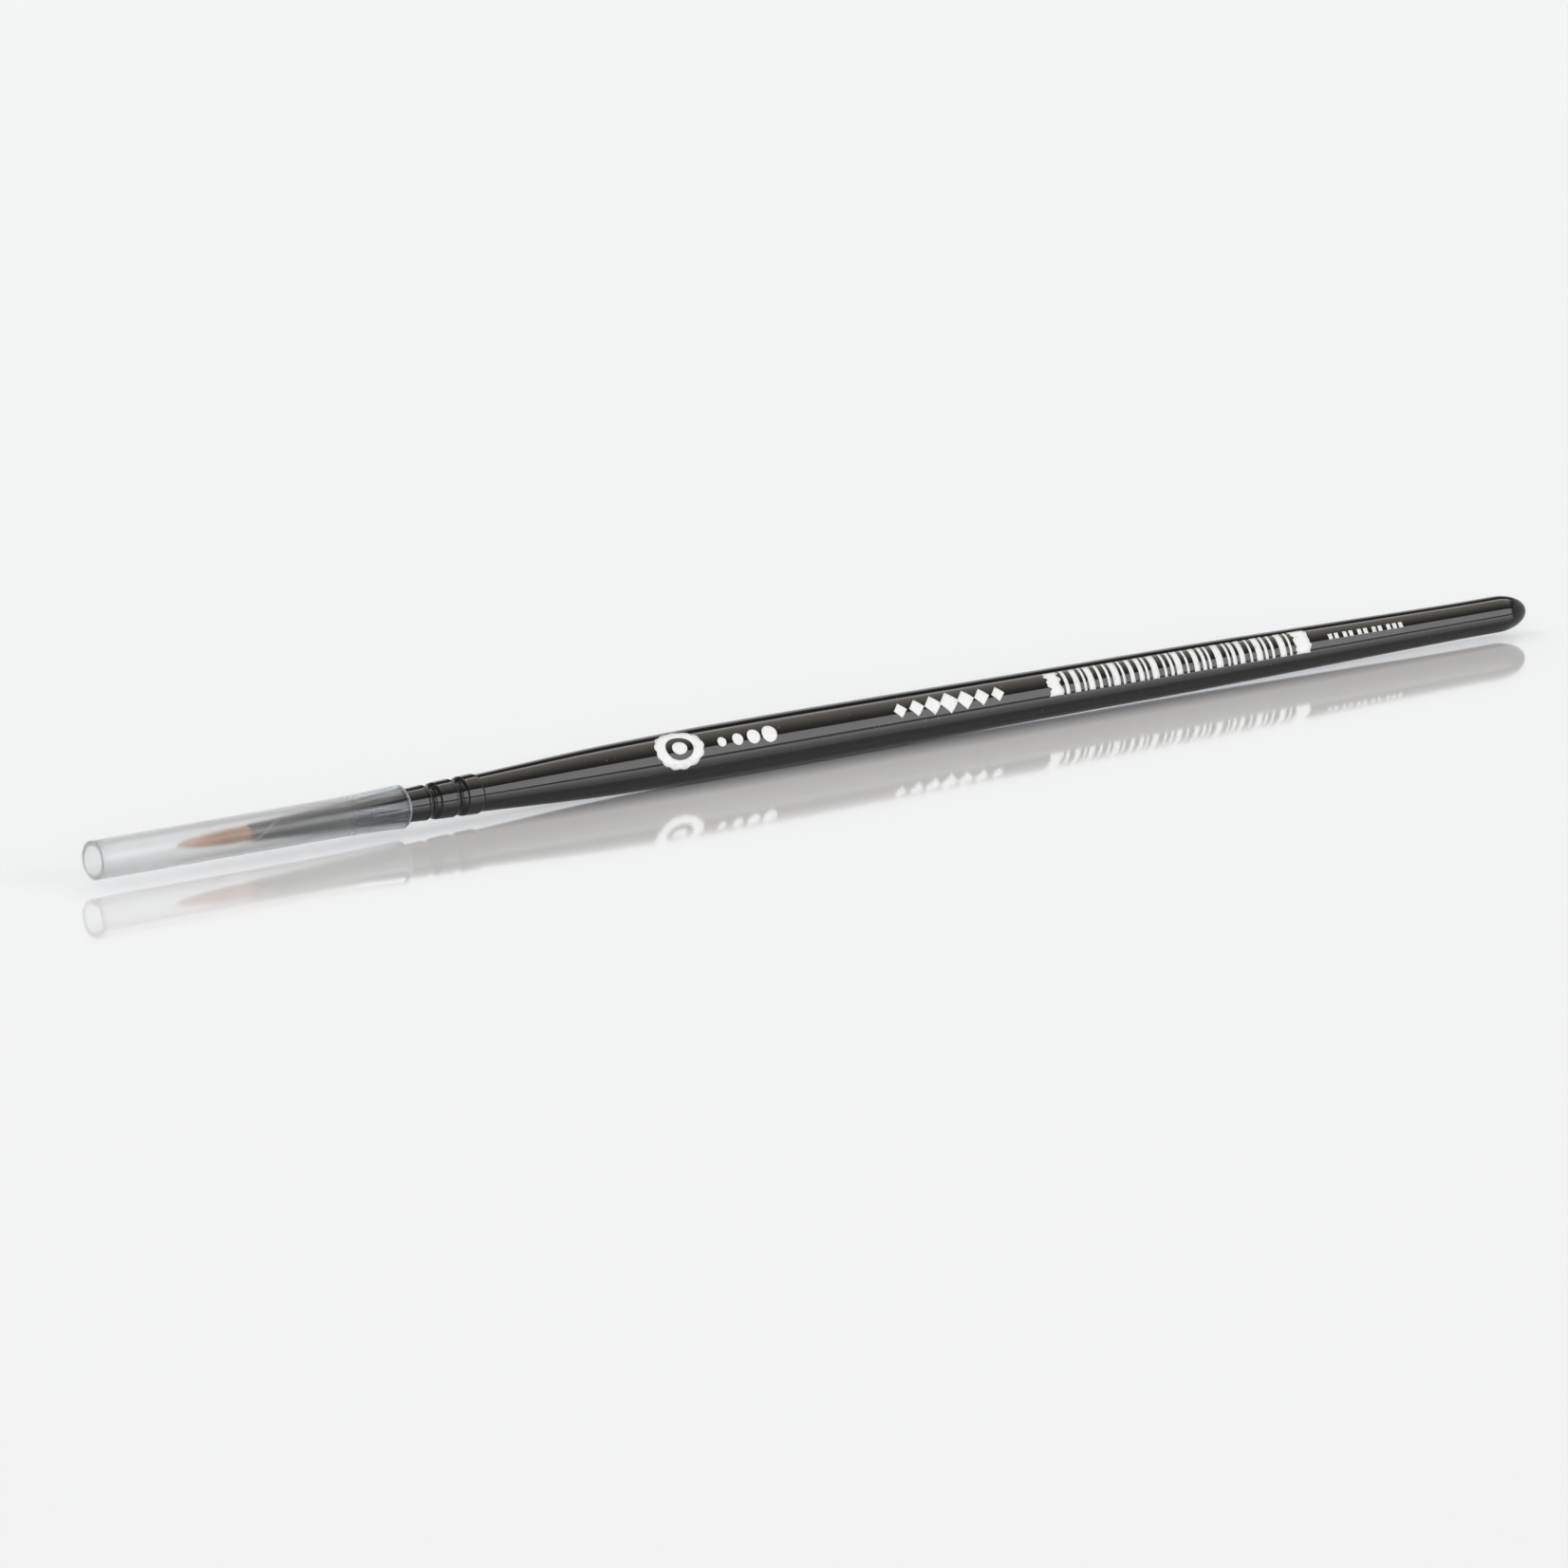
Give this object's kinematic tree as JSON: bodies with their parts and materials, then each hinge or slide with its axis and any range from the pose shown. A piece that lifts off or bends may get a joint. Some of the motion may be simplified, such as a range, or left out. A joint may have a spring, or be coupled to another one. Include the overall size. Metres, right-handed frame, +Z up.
{
  "type": "fine detail brush",
  "caption": "Small round detail brush: tapered gloss handle, crimped conical ferrule, short soft tuft and a clear protective tube pulled over the hair.",
  "frame": {"origin": "on the brush's axis, at the middle of the handle's widest stretch, where the fingers hold it", "axes": "+X along the axis from the hair to the tail, +Z up with the brush lying level, +Y completes the right-handed set"},
  "size_m": [0.1917, 0.006, 0.006],
  "materials": {
    "handle_lacquer": "hardwood under black gloss lacquer",
    "ferrule_metal": "black gloss lacquer on drawn sheet metal",
    "adhesive": "set glue",
    "hair": "fine synthetic filaments, satin",
    "thread": "fine twisted thread",
    "cement": "set clear resin",
    "tube_plastic": "soft clear to milky plastic"
  },
  "bodies": {
    "brush": {"handle": "handle_lacquer", "ferrule": "ferrule_metal", "tenon_adhesive": "adhesive", "hair_tuft": "hair", "binding_thread": "thread", "hair_cement": "cement"},
    "tube": {"protective_tube": "tube_plastic"}
  },
  "joints": [
    {"name": "tube_pull", "type": "slide", "parent": "brush", "child": "tube", "axis": [-1, 0, 0], "range_m": [0, 0.045]}
  ]
}
